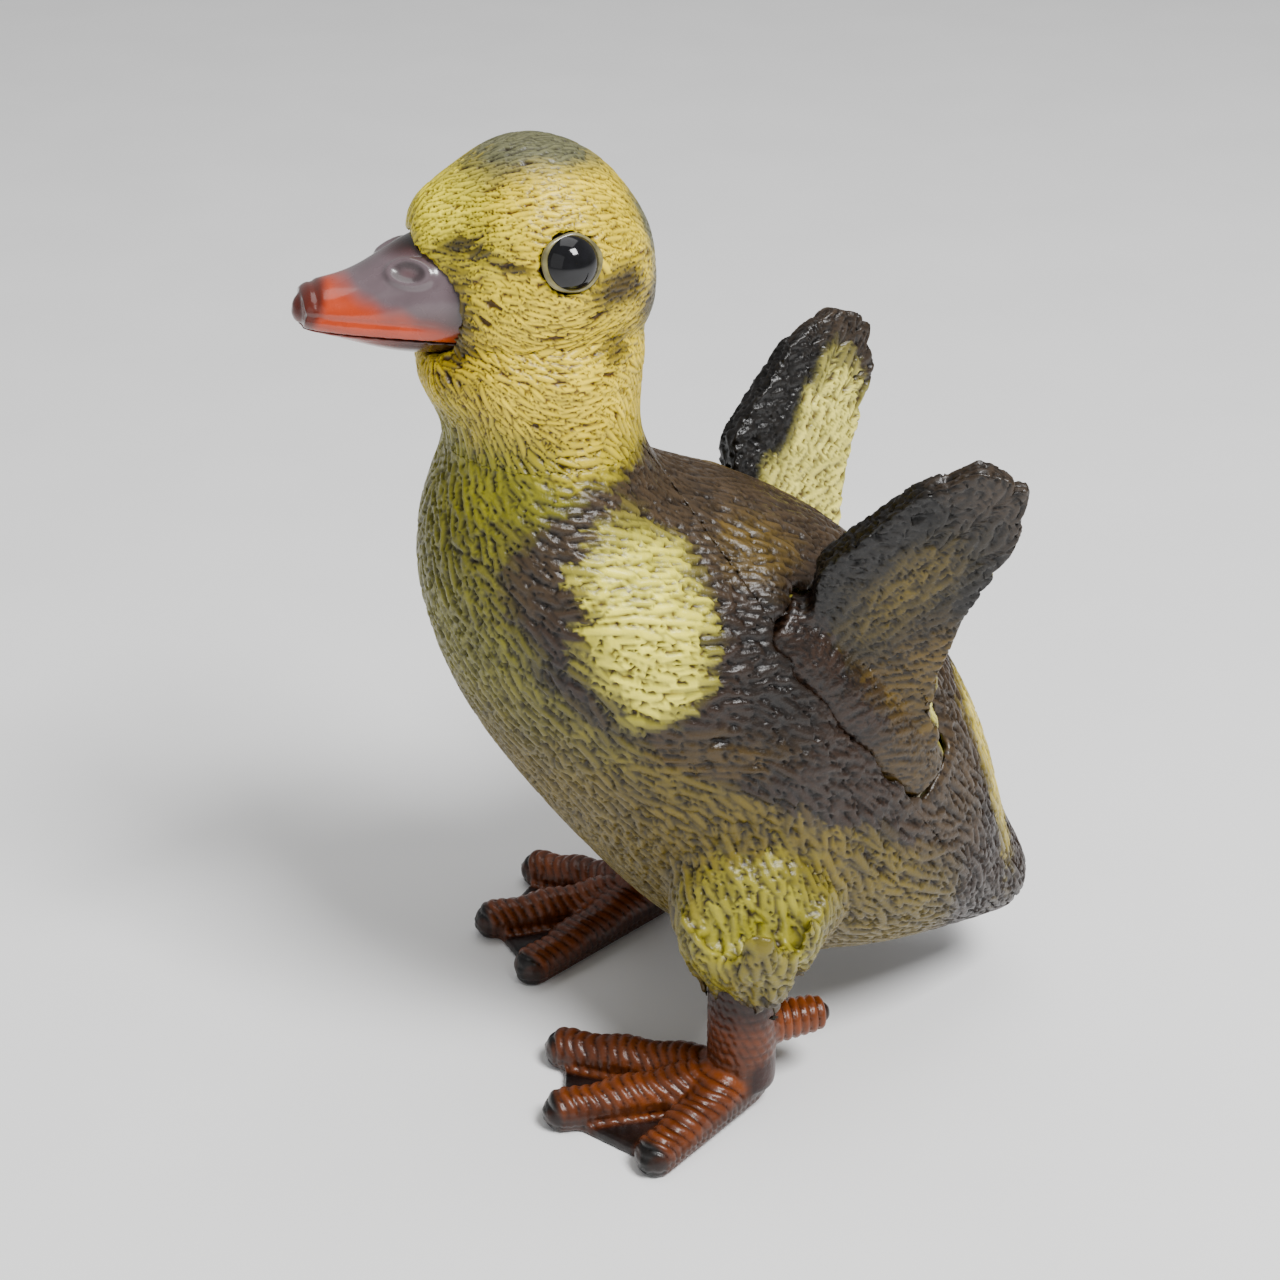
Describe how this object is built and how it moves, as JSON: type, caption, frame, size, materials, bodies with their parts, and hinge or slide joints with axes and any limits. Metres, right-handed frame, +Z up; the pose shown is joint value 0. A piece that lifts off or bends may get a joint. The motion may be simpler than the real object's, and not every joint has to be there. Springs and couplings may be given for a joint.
{
  "type": "motion wing decoy",
  "caption": "Standing duckling decoy of painted cast resin with two raised wings that flap on a geared drive, glass eyes and a battery hatch under the belly.",
  "frame": {"origin": "on the floor, under the middle of the bounding box", "axes": "+Z up, the bill points to -Y, the bird's left side is +X"},
  "size_m": [0.1084, 0.141, 0.1801],
  "materials": {
    "breast_cast": "painted, satin varnish",
    "back_cast": "painted, satin varnish",
    "head_cast": "painted, satin varnish",
    "cast_resin": "bare cast resin",
    "bill_upper": "painted, gloss",
    "bill_lower": "painted, gloss",
    "eye": "polished",
    "wing": "painted, satin varnish",
    "foot": "painted, satin varnish",
    "steel": "ground",
    "spring_steel": "spring temper",
    "bronze": "sintered",
    "frame_plastic": "moulded",
    "gear_plastic": "moulded",
    "motor_steel": "plated",
    "motor_brass": "plated",
    "screw_steel": "zinc plated",
    "cell": "shrink sleeve",
    "contact_metal": "nickel plated",
    "black_plastic": "moulded",
    "board": "solder mask",
    "chip": "moulded",
    "lead": "insulated"
  },
  "bodies": {
    "decoy": {"front_shell": "breast_cast", "back_shell": "back_cast", "head_shell": "head_cast", "neck_sleeve": "cast_resin", "seam_strips": "cast_resin", "upper_bill": "bill_upper", "lower_bill": "bill_lower", "eye_left": "eye", "eye_right": "eye", "foot_left": "foot", "foot_right": "foot", "leg_pin_left": "steel", "leg_pin_right": "steel", "drive_frame": "frame_plastic", "shaft_bushes_left": "bronze", "shaft_bushes_right": "bronze", "idler_pin_left": "steel", "idler_pin_right": "steel", "motor_can": "motor_steel", "motor_gearbox": "motor_brass", "motor_screws": "screw_steel", "frame_screws": "screw_steel", "battery_tray": "frame_plastic", "cells": "cell", "cell_contacts": "contact_metal", "contact_springs": "contact_metal", "door_hinge_pin": "steel", "switch_case": "black_plastic", "control_board": "board", "board_chips": "chip", "board_screws": "screw_steel", "motor_leads": "lead", "battery_leads": "lead", "switch_leads": "lead"},
    "wing_left_body": {"wing_left": "wing", "wing_gear_left": "gear_plastic", "wing_shaft_left": "steel", "shaft_clips_left": "spring_steel"},
    "wing_right_body": {"wing_right": "wing", "wing_gear_right": "gear_plastic", "wing_shaft_right": "steel", "shaft_clips_right": "spring_steel"},
    "idler_left_body": {"idler_gear_left": "gear_plastic"},
    "idler_right_body": {"idler_gear_right": "gear_plastic"},
    "pinion_body": {"motor_shaft": "steel", "motor_pinion": "gear_plastic"},
    "door_body": {"battery_door": "breast_cast"},
    "knob_body": {"switch_knob": "black_plastic"}
  },
  "joints": [
    {"name": "wing_left_hinge", "type": "hinge", "parent": "decoy", "child": "wing_left_body", "pos_m": [0.0235, 0.0205, 0.08], "axis": [0, -0.6428, 0.766], "range_deg": [-42, 2.5]},
    {"name": "wing_right_hinge", "type": "hinge", "parent": "decoy", "child": "wing_right_body", "pos_m": [-0.0235, 0.0205, 0.08], "axis": [0, -0.6428, 0.766], "range_deg": [-2.5, 42]},
    {"name": "idler_left_spin", "type": "hinge", "parent": "decoy", "child": "idler_left_body", "pos_m": [0.00893, 0.0205, 0.08], "axis": [0, -0.6428, 0.766], "range_deg": [-1.59, 26.54]},
    {"name": "idler_right_spin", "type": "hinge", "parent": "decoy", "child": "idler_right_body", "pos_m": [-0.00893, 0.0205, 0.08], "axis": [0, -0.6428, 0.766], "range_deg": [-26.54, 1.59]},
    {"name": "pinion_spin", "type": "hinge", "parent": "decoy", "child": "pinion_body", "pos_m": [0.00893, 0.00934, 0.07063], "axis": [0, -0.6428, 0.766], "range_deg": [-42, 2.5]},
    {"name": "door_hinge", "type": "hinge", "parent": "decoy", "child": "door_body", "pos_m": [0, 0.0547, 0.0174], "axis": [1, 0, 0], "range_deg": [0, 50]},
    {"name": "switch_slide", "type": "slide", "parent": "decoy", "child": "knob_body", "axis": [0, 1, 0], "range_m": [0, 0.003]}
  ],
  "couplings": [
    {"joint": "wing_right_hinge", "follows": "wing_left_hinge", "ratio": -1},
    {"joint": "idler_left_spin", "follows": "wing_left_hinge", "ratio": -0.63158},
    {"joint": "idler_right_spin", "follows": "wing_left_hinge", "ratio": 0.63158},
    {"joint": "pinion_spin", "follows": "wing_left_hinge", "ratio": 1}
  ]
}
